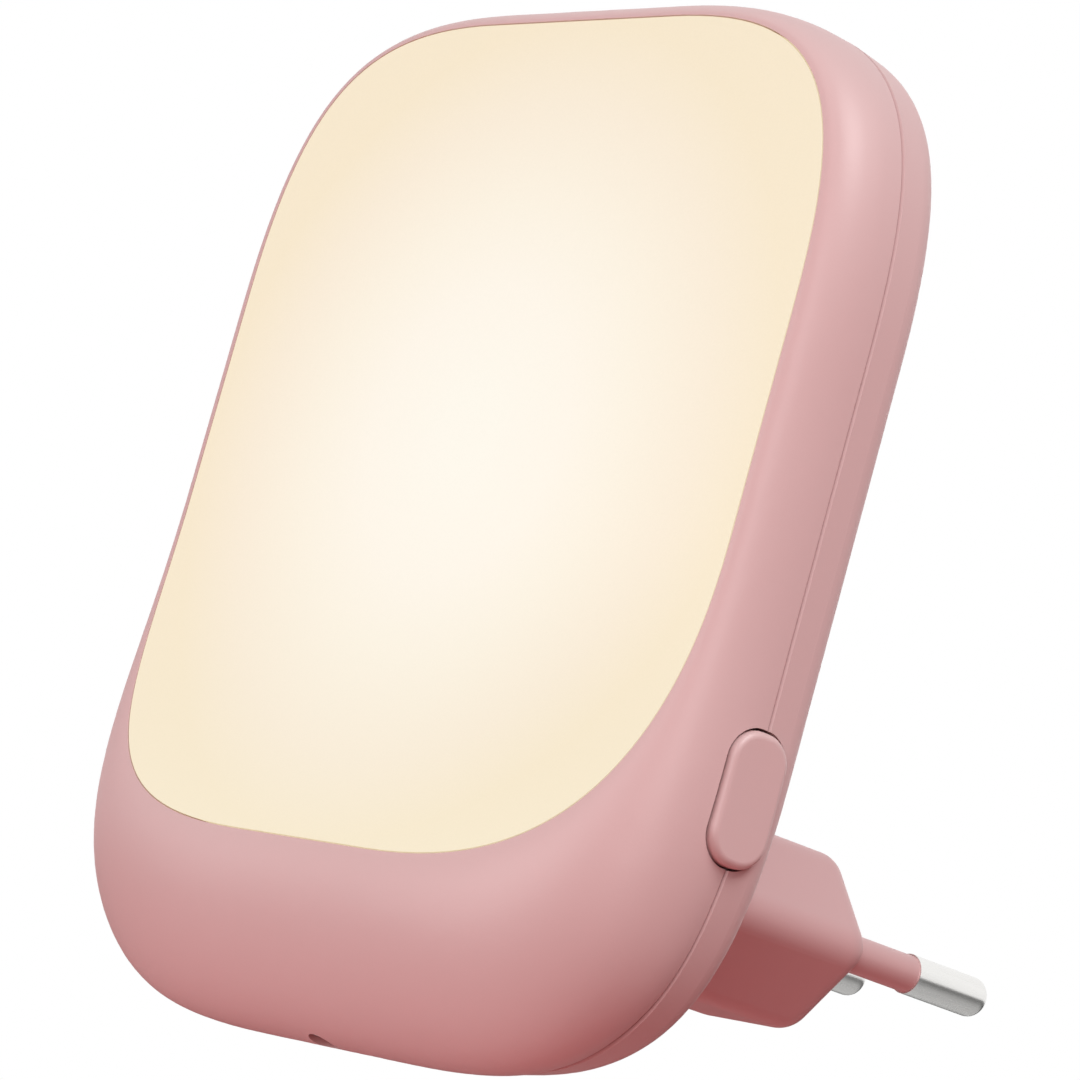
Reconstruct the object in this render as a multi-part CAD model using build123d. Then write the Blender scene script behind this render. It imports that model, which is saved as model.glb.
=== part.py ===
from build123d import *
import math
import os

# Plug-in night light, millimetres.
# Origin: centre of the plug's end face, midway between the two pins.
# +Y points into the wall socket, +Z up, +X to the right of someone facing the light.

# ---- Housing outline, where front shell and rear cover meet ----
BODY_WIDTH = 87.5
BODY_HEIGHT = 99.8
BODY_TOP_R = 31.0
BODY_BOTTOM_R = 30.6
SQUARENESS = 0.74           # corner handle length as a share of the corner size; 0.55 is round
PLUG_ABOVE_BOTTOM = 22.5    # plug axis above the bottom of the outline
WALL = 2.0

# ---- Depths, from the wall outwards ----
BLOCK_LENGTH = 41.0         # back of the housing to the plug's end face
COVER_DEPTH = 5.8
SHELL_DEPTH = 7.3           # parting line to the flat of the lit face
FLOOR = 2.0
COVER_EDGE_R = 3.2
COVER_TAPER = 0.6           # how far the cover draws in towards the wall
COVER_TAPER_BOTTOM = 1.3
GROOVE = 0.22               # bevel on both sides of the parting line

# ---- Rim round the window, and the lit face ----
SIDE_RIM = 3.0
TOP_RIM = 2.1
CHIN = 16.4
TOP_CORNER_STEP = 3.8       # the window's top corners are this much tighter than the housing's
FACE_SWEEP = 32.0           # lower part of the face that curves forward
FACE_REACH = 5.85           # how far it has come forward at the window's bottom edge
LEDGE = 1.2
LEDGE_THICKNESS = 1.4

# ---- Shell skin between window edge and parting line ----
RIM_FULLNESS = 0.45
SIDE_FULLNESS = 0.75
CHIN_FULLNESS = 0.55
SIDE_BELLY = 0.3
CHIN_BELLY = 3.7
CHIN_INNER_BELLY = 2.2

# ---- Diffuser and light box ----
DIFFUSER_THICKNESS = 2.2
DIFFUSER_GAP = 0.12
SEAT_GAP = 0.08
SKIRT_THICKNESS = 1.2
SKIRT_DEPTH = 2.4
SKIRT_GAP = 0.3
HOOK_LENGTH = 6.0
HOOK_REACH = 0.8
HOOK_THICKNESS = 0.7
HOOK_SPACING = 13.0         # between the two hooks on the top edge
BOX_WALL = 1.0
BOX_BASE = 0.8
BOX_GAP = 0.15

# ---- Lip joint and case screws ----
LIP_THICKNESS = 1.0
LIP_HEIGHT = 1.1
LIP_ROOT = 2.0
LIP_GAP = 0.15
CASE_SCREW_FROM_SIDE = 17.75
CASE_SCREW_ABOVE_BOTTOM = 10.0
CASE_BOSS_R = 3.3
CASE_SCREW_R = 1.25
CASE_SCREW_BITE = 3.7
CASE_HEAD_R = 2.6
CASE_HEAD_HEIGHT = 1.6

# ---- What all screws share ----
SCREW_GAP = 0.3
SCREW_TIP_GAP = 0.4
PILOT_GAP = 0.03
HEAD_EDGE_R = 0.35
RECESS_WIDTH = 0.6
RECESS_SPAN = 0.6           # share of the head's width that the cross recess takes
RECESS_DEPTH = 0.5          # share of the head's height

# ---- Pins, to the pattern of a two-pin 2.5 A plug ----
PIN_R = 2.0
PIN_LENGTH = 19.0
PIN_SPACING_ROOT = 18.6
PIN_SPACING_TIP = 17.5
PIN_TIP_R = 1.4
SLEEVE_R = 1.84
SLEEVE_LENGTH = 8.5
SLEEVE_ROOT = 3.0
CORE_R = 1.5
COLLAR_R = 1.7
COLLAR_THICKNESS = 1.0
TAIL_R = 1.0
TAIL_LENGTH = 6.0
PIN_GAP = 0.02
PIN_RECESS_R = 2.4
PIN_RECESS = 0.4
COLLAR_GAP = 0.06

# ---- Plug block ----
PIN_TO_RIDGE = 5.0          # pin axis to the sharp side ridge, before rounding
BLOCK_HEIGHT = 17.6
BLOCK_FLAT = 12.8           # width of the flat top and bottom
BLOCK_RIDGE_R = 3.0
BLOCK_CORNER_R = 3.6
BLOCK_END_R = 3.0
BLOCK_WALL = 1.8
BLOCK_END = 4.0
BLOCK_GAP = 0.1
FLANGE_THICKNESS = 1.6
FLANGE_R = 3.0
FLANGE_MARGIN = 3.0         # round the screws
BLOCK_SCREW_INSET = 0.3     # inside the block's side ridges
BLOCK_SCREW_DROP = 1.9      # inside its flat top and bottom
BLOCK_SCREW_R = 0.95
BLOCK_HEAD_R = 1.8
BLOCK_HEAD_HEIGHT = 1.1
LOCATOR_R = 2.0             # pads on the cover's floor that the flange drops over
LOCATOR_RISE = 0.8
LOCATOR_GAP = 0.1
FLOOR_SKIN = 0.3            # floor left behind the block screws' pilot holes
SMALLEST_R = 0.5

# ---- Circuit boards ----
BOARD_THICKNESS = 1.2
HEAD_TO_BOARD = 0.4         # block screw heads to the back of the main board
BOARD_TO_BUTTON = 0.65      # left when the button is pressed
MAIN_BOARD_ABOVE_BOTTOM = 18.5
MAIN_BOARD_CORNER_R = 8.0
TONGUE_WIDTH = 30.0
TONGUE_ABOVE_BOTTOM = 5.0
POST_R = 2.6
BOARD_SCREW_EDGE = 2.3      # screw axis inside the board's edge
BOARD_SCREW_ABOVE_BOTTOM = 46.5
BOARD_SCREW_R = 0.9
BOARD_SCREW_BITE = 3.2
BOARD_HEAD_R = 1.9
BOARD_HEAD_HEIGHT = 1.3
HEAD_TO_BOX = 1.67          # board screw heads to the foot of the light box
DRIVER_SIDE_GAP = 0.7
DRIVER_FRONT_GAP = 2.4      # from the inside of the plug's end wall

# ---- Parts on the boards ----
STANDOFF = 0.1              # moulded bodies off the board
LED_WIDTH = 2.8
LED_HEIGHT = 3.5
LED_THICKNESS = 0.8
LED_LENS_R = 0.93
LED_LENS_DEPTH = 0.4
LED_PITCH_X = 13.0
LED_PITCH_Z = 15.0
LED_COLUMNS = 3
LED_ROWS = 4
LED_WINDOW_GAP = 0.35
CHIP_WIDTH = 3.9
CHIP_LENGTH = 4.9
CHIP_THICKNESS = 1.5
CHIP_X = 14.0
CHIP_ABOVE_BOTTOM = 52.5
CHIP_ROWS = 4
LEAD_WIDTH = 0.42
LEAD_PITCH = 1.27
LEAD_REACH = 1.0
RESISTOR_LENGTH = 3.2
RESISTOR_WIDTH = 1.6
RESISTOR_THICKNESS = 0.55
RESISTOR_PITCH = 3.6
RESISTOR_COUNT = 6
RESISTOR_X = -14.0
FILM_CAP_WIDTH = 10.5
FILM_CAP_LENGTH = 14.0
FILM_CAP_HEIGHT = 6.4
FILM_CAP_EDGE_R = 0.6
FILM_CAP_FROM_END = 8.0
CAN_R = 3.15
CAN_LENGTH = 11.0
CAN_GAP = 3.0
CAN_EDGE_R = 0.5
CAN_CRIMP_R = 0.5
CAN_CRIMP_FROM_END = 1.8
BRIDGE_WIDTH = 3.9
BRIDGE_LENGTH = 4.7
BRIDGE_THICKNESS = 2.4
BRIDGE_LEAD_PITCH = 2.4
BRIDGE_FROM_END = 11.0
FUSE_R = 1.5
FUSE_WAIST_R = 1.3
FUSE_LENGTH = 7.0
FUSE_CAP = 1.75
FUSE_EDGE_R = 0.35
FUSE_GAP = 6.0
LINK_PINS = 4
LINK_PITCH = 2.54
LINK_SIZE = 0.64
LINK_LENGTH = 5.0

# ---- Button and its switch ----
BUTTON_WIDTH = 6.6
BUTTON_HEIGHT = 12.0
BUTTON_CORNER_R = 2.9
BUTTON_ABOVE_BOTTOM = 27.6
BUTTON_AHEAD = 0.3          # button centre in front of the parting line
BUTTON_PROUD = 0.6
BUTTON_EDGE_R = 0.7
BUTTON_GAP = 0.22
BUTTON_TRAVEL = 0.8
BUTTON_FLANGE = 1.0
BUTTON_FLANGE_OVERLAP = 1.3
BUTTON_FLANGE_R = 1.0
BUTTON_WALL = 2.0           # housing wall left in front of the flange
STEM_R = 1.3
STEM_LENGTH = 0.7
SWITCH_DEPTH = 2.7
SWITCH_HEIGHT = 6.0
SWITCH_RISE = 3.5           # off the board
SWITCH_COVER = 0.3
SWITCH_LEG_SETBACK = 0.9
SWITCH_BORE_R = 1.6
PLUNGER_R = 0.9
PLUNGER_HOLE_GAP = 0.2
PLUNGER_COLLAR_R = 1.3
PLUNGER_COLLAR = 0.7
PLUNGER_PLAY = 0.05
PLUNGER_SPARE = 0.4         # plunger left outside the cover when pressed
PLUNGER_GAP = 0.1
DOME_R = 1.45
DOME_RISE = 0.25
DOME_SHEET = 0.08
DOME_HOLE_R = 0.3
DOME_SPARE = 0.42           # above the dome when pressed

# ---- Light sensor ----
SENSOR_AHEAD = 3.8          # sensor axis in front of the parting line
SENSOR_HOLE_R = 1.7
LENS_GAP = 0.08
LENS_RISE = 0.8             # into the case, past the wall
LENS_INSET = 0.5
SENSOR_R = 1.5
SENSOR_DOME_R = 1.35
SENSOR_LENGTH = 4.6
SENSOR_RIM_R = 1.8
SENSOR_RIM = 0.8
SENSOR_LEAD_R = 0.25
SENSOR_LEAD_PITCH = 2.0
SENSOR_LEAD_RISE = 1.6
SENSOR_GAP = 0.25           # light pipe to sensor
SENSOR_ROOM = 0.3           # round the sensor's rim

# ---- Working values, no sizes of the object ----
STRAIGHT_STEPS = 3          # loft sections along a straight stretch
CORNER_STEPS = 7            # and round a corner
HALVINGS = 40
NEAR = 0.01
MARGIN = 1.0                # by which cutting bodies overshoot

# ---- Outlines and planes that follow ----
BODY_BOTTOM = -PLUG_ABOVE_BOTTOM
BODY_TOP = BODY_BOTTOM + BODY_HEIGHT
WINDOW_WIDTH = BODY_WIDTH - 2 * SIDE_RIM
WINDOW_TOP = BODY_TOP - TOP_RIM
WINDOW_BOTTOM = BODY_BOTTOM + CHIN
FACE_CENTRE_Z = (WINDOW_TOP + WINDOW_BOTTOM) / 2

# Outlines are (half width, top, bottom, top corner size, bottom corner size).
BODY = (BODY_WIDTH / 2, BODY_TOP, BODY_BOTTOM, BODY_TOP_R, BODY_BOTTOM_R)
WINDOW = (WINDOW_WIDTH / 2, WINDOW_TOP, WINDOW_BOTTOM, BODY_TOP_R - TOP_CORNER_STEP, BODY_BOTTOM_R)
LAST_PLACE = 5              # places on half an outline: 0 top middle, 5 bottom middle

BACK_Y = -BLOCK_LENGTH
FLOOR_Y = BACK_Y - FLOOR
FLANGE_Y = FLOOR_Y - FLANGE_THICKNESS
BOARD_REAR_Y = FLANGE_Y - BLOCK_HEAD_HEIGHT - HEAD_TO_BOARD
BOARD_FRONT_Y = BOARD_REAR_Y - BOARD_THICKNESS
PARTING_Y = BACK_Y - COVER_DEPTH
FACE_Y = PARTING_Y - SHELL_DEPTH
FRONT_LIMIT = FACE_Y - 2 * FACE_REACH
SWEEP_TOP = WINDOW_BOTTOM + FACE_SWEEP
SWEEP_R = (FACE_SWEEP**2 + FACE_REACH**2) / (2 * FACE_REACH)
SENSOR_Y = PARTING_Y - SENSOR_AHEAD

FORWARD = Vector(0, -1, 0)
INWARD = Vector(0, 1, 0)


# ---- Outlines ----

def stretches(outline):
    """Control points (x, z) of an outline's right half: top, corner, side, corner, bottom."""
    w, top, bottom, r_top, r_bottom = outline
    top_free = r_top * (1 - SQUARENESS)
    bottom_free = r_bottom * (1 - SQUARENESS)
    return [
        [(0, top), (w - r_top, top)],
        [(w - r_top, top), (w - top_free, top), (w, top - top_free), (w, top - r_top)],
        [(w, top - r_top), (w, bottom + r_bottom)],
        [(w, bottom + r_bottom), (w, bottom + bottom_free),
         (w - bottom_free, bottom), (w - r_bottom, bottom)],
        [(w - r_bottom, bottom), (0, bottom)],
    ]


def place_on(outline, t):
    """Point and direction of travel at place t on an outline's right half."""
    stretch = min(int(t), LAST_PLACE - 1)
    share = t - stretch
    points = [Vector(x, 0, z) for x, z in stretches(outline)[stretch]]
    while len(points) > 2:
        points = [a * (1 - share) + b * share for a, b in zip(points, points[1:])]
    direction = points[1] - points[0]
    return points[0] * (1 - share) + points[1] * share, direction.normalized()


def turning_point(low, high, is_before):
    """The value between low and high where is_before stops being true."""
    for _ in range(HALVINGS):
        middle = (low + high) / 2
        if is_before(middle):
            low = middle
        else:
            high = middle
    return low


def half_width_at(outline, z):
    place = turning_point(0, LAST_PLACE, lambda t: place_on(outline, t)[0].Z > z)
    return place_on(outline, place)[0].X


def inset(outline, amount):
    w, top, bottom, r_top, r_bottom = outline
    return (w - amount, top - amount, bottom + amount, r_top - amount, r_bottom - amount)


def outline_face(outline, y):
    """The closed outline as a flat face at depth y."""
    edges = []
    for side in (1, -1):
        for points in stretches(outline):
            vectors = [Vector(side * x, y, z) for x, z in points]
            is_curve = len(vectors) > 2
            edges.append(Edge.make_bezier(*vectors) if is_curve else Edge.make_line(*vectors))
    return Face(Wire(edges))


def prism(outline, y_start, y_end):
    return extrude(outline_face(outline, y_start), amount=y_end - y_start, dir=(0, 1, 0))


def tapered(outline_front, outline_back, y_front, y_back):
    wires = [outline_face(outline_front, y_front).outer_wire(),
             outline_face(outline_back, y_back).outer_wire()]
    return Solid.make_loft(wires, True)


def block(x0, x1, y0, y1, z0, z1):
    centre = Pos((x0 + x1) / 2, (y0 + y1) / 2, (z0 + z1) / 2)
    return centre * Box(x1 - x0, y1 - y0, z1 - z0)


def rod(radius, start, end):
    start = Vector(*start)
    axis = Vector(*end) - start
    return Solid.make_cylinder(radius, axis.length, Plane(origin=start, z_dir=axis))


def rounded_slab(width, height, corner, y_start, y_end):
    sketch = Plane.XZ.offset(-y_start) * RectangleRounded(width, height, corner)
    return extrude(sketch, amount=y_end - y_start, dir=(0, 1, 0))


# ---- Places that more than one piece needs ----

BUTTON_Z = BODY_BOTTOM + BUTTON_ABOVE_BOTTOM
BUTTON_Y = PARTING_Y - BUTTON_AHEAD
SIDE_X = half_width_at(BODY, BUTTON_Z)
BUTTON_FACE_X = SIDE_X + BUTTON_PROUD
POCKET_X = SIDE_X - BUTTON_WALL
BUTTON_FLANGE_X = POCKET_X - BUTTON_GAP
BUTTON_REAR_X = BUTTON_FLANGE_X - BUTTON_FLANGE
STEM_X = BUTTON_REAR_X - STEM_LENGTH
PLUNGER_X = STEM_X - PLUNGER_GAP
SWITCH_FACE_X = PLUNGER_X - PLUNGER_SPARE - BUTTON_TRAVEL
SWITCH_Y = BOARD_FRONT_Y - SWITCH_RISE / 2
SWITCH_BORE = PLUNGER_PLAY + PLUNGER_COLLAR + BUTTON_TRAVEL + DOME_RISE + DOME_SHEET + DOME_SPARE

# The main board stays clear of the pressed button, and the light box's foot of the board's screws.
BOARD_GAP = BODY_WIDTH / 2 - (BUTTON_REAR_X - BUTTON_TRAVEL - BOARD_TO_BUTTON)
BOARD_TOP_GAP = BOARD_GAP - SIDE_RIM + TOP_RIM
SKIRT_INSET = LEDGE + SKIRT_GAP + DIFFUSER_GAP
BOX_INSET = SKIRT_INSET + SKIRT_THICKNESS + SKIRT_GAP
FOOT_INSET = BOARD_GAP - SIDE_RIM + BOARD_SCREW_EDGE + BOARD_HEAD_R + HEAD_TO_BOX

DRIVER_TOP_Z = -TAIL_R
DRIVER_BOTTOM_Z = DRIVER_TOP_Z - BOARD_THICKNESS
BLOCK_WIDTH = PIN_SPACING_ROOT + 2 * PIN_TO_RIDGE
BLOCK_SCREW_X = BLOCK_WIDTH / 2 - BLOCK_SCREW_INSET
BLOCK_SCREW_Z = BLOCK_HEIGHT / 2 - BLOCK_SCREW_DROP


def mirrored(x, z):
    return [(-x, z), (x, z)]


def case_screw_places():
    return mirrored(BODY_WIDTH / 2 - CASE_SCREW_FROM_SIDE, BODY_BOTTOM + CASE_SCREW_ABOVE_BOTTOM)


def block_screw_places():
    return mirrored(BLOCK_SCREW_X, BLOCK_SCREW_Z) + mirrored(BLOCK_SCREW_X, -BLOCK_SCREW_Z)


def board_screw_places():
    side_x = BODY_WIDTH / 2 - BOARD_GAP - BOARD_SCREW_EDGE
    top_z = BODY_TOP - BOARD_TOP_GAP - BOARD_SCREW_EDGE
    return mirrored(side_x, BODY_BOTTOM + BOARD_SCREW_ABOVE_BOTTOM) + [(0, top_z)]


def led_places():
    first_x = -LED_PITCH_X * (LED_COLUMNS - 1) / 2
    first_z = FACE_CENTRE_Z - LED_PITCH_Z * (LED_ROWS - 1) / 2
    return [(first_x + column * LED_PITCH_X, first_z + row * LED_PITCH_Z)
            for column in range(LED_COLUMNS) for row in range(LED_ROWS)]


# ---- The lit face: flat above, swept forward below ----

def face_y(z):
    drop = max(SWEEP_TOP - z, 0)
    return FACE_Y - SWEEP_R + math.sqrt(SWEEP_R**2 - drop**2)


def face_slope(z):
    drop = max(SWEEP_TOP - z, 0)
    return drop / math.sqrt(SWEEP_R**2 - drop**2)


def on_face(point, behind):
    """The point, moved to a depth behind the lit face."""
    return Vector(point.X, face_y(point.Z) + behind, point.Z)


def face_line(behind):
    """Side view of the lit face at a depth behind it: straight, then an arc."""
    top = on_face(Vector(0, 0, WINDOW_TOP + MARGIN), behind)
    bend = on_face(Vector(0, 0, SWEEP_TOP), behind)
    middle = on_face(Vector(0, 0, SWEEP_TOP - FACE_SWEEP / 2), behind)
    low = on_face(Vector(0, 0, WINDOW_BOTTOM - MARGIN), behind)
    return top, low, [Edge.make_line(top, bend), Edge.make_three_point_arc(bend, middle, low)]


def face_band(behind_start, behind_end):
    """A slab a little larger than the window that follows the face, between two depths."""
    top_a, low_a, front = face_line(behind_start)
    top_b, low_b, back = face_line(behind_end)
    wire = Wire(front + [Edge.make_line(low_a, low_b)] + back + [Edge.make_line(top_b, top_a)])
    return extrude(Face(wire), amount=WINDOW_WIDTH / 2 + MARGIN, dir=(1, 0, 0), both=True)


# ---- Front shell: a ring of wall sections lofted round the window ----

class Section:
    """Cross-section of the shell at place t of the window's edge, square to that edge."""

    def __init__(self, t):
        self.window, along = place_on(WINDOW, t)
        self.outward = Vector(-along.Z, 0, along.X)
        self.outline = place_on(BODY, turning_point(0, LAST_PLACE, self.is_before))[0]
        self.span = (self.outline - self.window).length
        self.chin = min(max((self.span - SIDE_RIM) / (CHIN - SIDE_RIM), 0), 1)
        slope = face_slope(self.window.Z) * self.outward.Z
        self.over_rim = (self.outward + INWARD * slope).normalized()
        self.rim = on_face(self.window, 0)
        self.parting = self.at_parting(0) + FORWARD * GROOVE

    def is_before(self, place):
        """Whether a place on the housing's outline comes before the section's plane."""
        offset = place_on(BODY, place)[0] - self.window
        return self.outward.X * offset.Z - self.outward.Z * offset.X > 0

    def at_parting(self, inside):
        return self.outline - self.outward * inside + INWARD * PARTING_Y

    def mix(self, side_value, chin_value):
        return side_value + (chin_value - side_value) * self.chin

    def outer_skin(self, rim, parting):
        reach = self.mix(SIDE_FULLNESS, CHIN_FULLNESS) * (parting.Y - rim.Y)
        belly = self.mix(SIDE_BELLY, CHIN_BELLY)
        return Edge.make_bezier(rim, rim + self.over_rim * (RIM_FULLNESS * self.span),
                                parting + FORWARD * reach + self.outward * belly, parting)

    def inner_skin(self, parting, ledge):
        reach = CHIN_FULLNESS * (parting.Y - ledge.Y)
        belly = CHIN_INNER_BELLY * self.chin
        inner_span = self.span - WALL + LEDGE
        return Edge.make_bezier(parting, parting + FORWARD * reach + self.outward * belly,
                                ledge + self.over_rim * (RIM_FULLNESS * inner_span), ledge)

    def wall(self):
        """The shell's wall, with the ledge that the diffuser rests on."""
        bevel = self.at_parting(GROOVE)
        inner = self.at_parting(WALL)
        seat = on_face(self.window, DIFFUSER_THICKNESS)
        ledge_front = on_face(self.window - self.outward * LEDGE, DIFFUSER_THICKNESS)
        ledge_back = ledge_front + INWARD * LEDGE_THICKNESS
        return Wire([self.outer_skin(self.rim, self.parting), Edge.make_line(self.parting, bevel),
                     Edge.make_line(bevel, inner), self.inner_skin(inner, ledge_back),
                     Edge.make_line(ledge_back, ledge_front), Edge.make_line(ledge_front, seat),
                     Edge.make_line(seat, self.rim)])

    def wedge(self):
        """A solid section that ends halfway through the wall, to trim the screw bosses."""
        rim = on_face(self.window, DIFFUSER_THICKNESS / 2)
        parting = self.at_parting(WALL / 2) + FORWARD * GROOVE
        heel = self.at_parting(WALL / 2)
        foot = self.window + INWARD * PARTING_Y
        return Wire([self.outer_skin(rim, parting), Edge.make_line(parting, heel),
                     Edge.make_line(heel, foot), Edge.make_line(foot, rim)])


def section_places():
    places = []
    for stretch in range(LAST_PLACE):
        steps = CORNER_STEPS if stretch in (1, 3) else STRAIGHT_STEPS
        places += [stretch + step / steps for step in range(steps)]
    return places + [LAST_PLACE]


def ring_of(wires):
    half = Solid.make_loft(wires)
    return half + half.mirror(Plane.YZ)


def button_bar(margin, x0, x1):
    """The button's rounded outline, wider by margin all round, from x0 to x1."""
    outline = RectangleRounded(BUTTON_WIDTH + 2 * margin, BUTTON_HEIGHT + 2 * margin,
                               BUTTON_CORNER_R + margin)
    return extrude(Plane.YZ.offset(x0) * (Pos(BUTTON_Y, BUTTON_Z) * outline), amount=x1 - x0)


def button_opening():
    """Clearance for the button through the side wall, with a flat pocket for its flange."""
    reach = BUTTON_HEIGHT / 2 + BUTTON_FLANGE_OVERLAP + BUTTON_GAP
    half = BUTTON_WIDTH / 2 + BUTTON_GAP
    through = button_bar(BUTTON_GAP, STEM_X, BUTTON_FACE_X + MARGIN)
    pocket = block(STEM_X - MARGIN, POCKET_X, BUTTON_Y - half, BUTTON_Y + half,
                   BUTTON_Z - reach, BUTTON_Z + reach)
    return through + pocket


def chin_underside_z():
    """Height of the chin's outer skin on the sensor's axis."""
    section = Section(LAST_PLACE)
    skin = section.outer_skin(section.rim, section.parting)
    share = turning_point(0, 1, lambda t: (skin @ t).Y < SENSOR_Y)
    return (skin @ share).Z


def on_sensor_axis(radius, z_start, z_end):
    return rod(radius, (0, SENSOR_Y, z_start), (0, SENSOR_Y, z_end))


def sensor_opening():
    """Hole for the light pipe under the chin, spot-faced inside for the sensor."""
    underside = chin_underside_z()
    inside = underside + WALL
    room_top = inside + LENS_RISE + SENSOR_LENGTH
    hole = on_sensor_axis(SENSOR_HOLE_R, underside - MARGIN, inside)
    return hole + on_sensor_axis(SENSOR_RIM_R + SENSOR_ROOM, inside, room_top)


def front_shell():
    sections = [Section(t) for t in section_places()]
    shell = ring_of([section.wall() for section in sections])
    room = ring_of([section.wedge() for section in sections])
    for x, z in case_screw_places():
        shell = shell + (rod(CASE_BOSS_R, (x, PARTING_Y, z), (x, FRONT_LIMIT, z)) & room)
        pilot_end = PARTING_Y - CASE_SCREW_BITE - SCREW_TIP_GAP
        shell = shell - rod(CASE_SCREW_R + PILOT_GAP, (x, PARTING_Y, z), (x, pilot_end, z))
    return shell - button_opening() - sensor_opening()


# ---- Plug block's outline ----

def block_half_width(shrink, z):
    """Half width of the six-sided block at height z, drawn in by shrink on every side."""
    rise = BLOCK_HEIGHT / 2
    run = (BLOCK_WIDTH - BLOCK_FLAT) / 2
    ridge = BLOCK_WIDTH / 2 - shrink / math.sin(math.atan2(rise, run))
    return ridge - run / rise * abs(z)


def block_outline(shrink):
    half_height = BLOCK_HEIGHT / 2 - shrink
    ridge = block_half_width(shrink, 0)
    flat = block_half_width(shrink, half_height)
    right = [(flat, -half_height), (ridge, 0), (flat, half_height)]
    left = [(-x, z) for x, z in reversed(right)]
    corners = Polygon(*(right + left), align=None)
    ridges = [v for v in corners.vertices() if abs(v.Y) < NEAR]
    rounded = fillet(ridges, max(BLOCK_RIDGE_R - shrink, SMALLEST_R))
    others = [v for v in rounded.vertices() if abs(abs(v.Y) - half_height) < NEAR]
    return fillet(others, max(BLOCK_CORNER_R - shrink, SMALLEST_R))


def block_prism(shrink, y_start, y_end):
    sketch = Plane.XZ.offset(-y_start) * block_outline(shrink)
    return extrude(sketch, amount=y_end - y_start, dir=(0, 1, 0))


# ---- Rear cover ----

def cover_back_outline():
    w, top, bottom, r_top, r_bottom = inset(BODY, COVER_TAPER)
    return w, top, bottom - COVER_TAPER + COVER_TAPER_BOTTOM, r_top, r_bottom


def cover_lip():
    tip_y = PARTING_Y - LIP_HEIGHT
    root_y = PARTING_Y + LIP_ROOT
    root = prism(inset(BODY, WALL - LIP_GAP), PARTING_Y, root_y)
    nose = prism(inset(BODY, WALL + LIP_GAP), tip_y, PARTING_Y)
    return root + nose - prism(inset(BODY, WALL + LIP_GAP + LIP_THICKNESS), tip_y, root_y)


def cover_tray():
    back = cover_back_outline()
    outer = tapered(BODY, back, PARTING_Y + GROOVE, BACK_Y)
    outer = fillet(outer.faces().sort_by(Axis.Y)[-1].edges(), COVER_EDGE_R)
    outer = outer + tapered(inset(BODY, GROOVE), BODY, PARTING_Y, PARTING_Y + GROOVE)
    hollow = tapered(inset(BODY, WALL), inset(back, WALL), PARTING_Y, FLOOR_Y)
    return outer - hollow + cover_lip()


def pierced(solid, radius, x, z, y_start, y_end):
    """The solid with a hole along Y, which ends at y_start and y_end."""
    return solid - rod(radius, (x, y_start, z), (x, y_end, z))


def rear_cover():
    cover = cover_tray()
    for x, z in case_screw_places():
        cover = cover + rod(CASE_BOSS_R, (x, FLOOR_Y, z), (x, PARTING_Y, z))
        cover = pierced(cover, CASE_SCREW_R + SCREW_GAP, x, z, PARTING_Y, BACK_Y)
        seat_y = BACK_Y - CASE_HEAD_HEIGHT - SCREW_GAP
        cover = pierced(cover, CASE_HEAD_R + SCREW_GAP, x, z, seat_y, BACK_Y)
    for x, z in board_screw_places():
        pilot_end = BOARD_REAR_Y + BOARD_SCREW_BITE + SCREW_TIP_GAP
        cover = cover + rod(POST_R, (x, FLOOR_Y, z), (x, BOARD_REAR_Y, z))
        cover = pierced(cover, BOARD_SCREW_R + PILOT_GAP, x, z, BOARD_REAR_Y, pilot_end)
    for x, z in block_screw_places():
        pad_y = FLOOR_Y - LOCATOR_RISE
        cover = cover + rod(LOCATOR_R, (x, FLOOR_Y, z), (x, pad_y, z))
        cover = pierced(cover, BLOCK_SCREW_R + PILOT_GAP, x, z, pad_y, BACK_Y - FLOOR_SKIN)
    cover = cover - block_prism(-BLOCK_GAP, FLOOR_Y, BACK_Y)
    return cover - button_opening()


# ---- Diffuser and light box ----

def hook(place, outward):
    """Snap hook on the diffuser's skirt that catches behind the shell's ledge."""
    root = place - outward * (SKIRT_INSET + SKIRT_THICKNESS / 2)
    tip = place - outward * (SKIRT_INSET - HOOK_REACH)
    along = Vector(outward.Z, 0, outward.X) * (HOOK_LENGTH / 2)
    x0, x1 = sorted(((root - along).X, (tip + along).X))
    z0, z1 = sorted(((root - along).Z, (tip + along).Z))
    start = face_y(place.Z) + DIFFUSER_THICKNESS + LEDGE_THICKNESS + SKIRT_GAP
    return block(x0, x1, start, start + HOOK_THICKNESS, z0, z1)


def diffuser():
    panel = prism(inset(WINDOW, DIFFUSER_GAP), FRONT_LIMIT, BOARD_FRONT_Y)
    panel = panel & face_band(0, DIFFUSER_THICKNESS - SEAT_GAP)
    ring = prism(inset(WINDOW, SKIRT_INSET), FRONT_LIMIT, BOARD_FRONT_Y)
    ring = ring - prism(inset(WINDOW, SKIRT_INSET + SKIRT_THICKNESS), FRONT_LIMIT, BOARD_FRONT_Y)
    skirt = ring & face_band(DIFFUSER_THICKNESS / 2, DIFFUSER_THICKNESS + SKIRT_DEPTH)
    lamp_face = panel + skirt
    for x in (-HOOK_SPACING / 2, HOOK_SPACING / 2):
        lamp_face = lamp_face + hook(Vector(x, 0, WINDOW_TOP), Vector(0, 0, 1))
    for side in (-1, 1):
        middle = Vector(side * WINDOW_WIDTH / 2, 0, FACE_CENTRE_Z)
        lamp_face = lamp_face + hook(middle, Vector(side, 0, 0))
    return lamp_face


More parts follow.
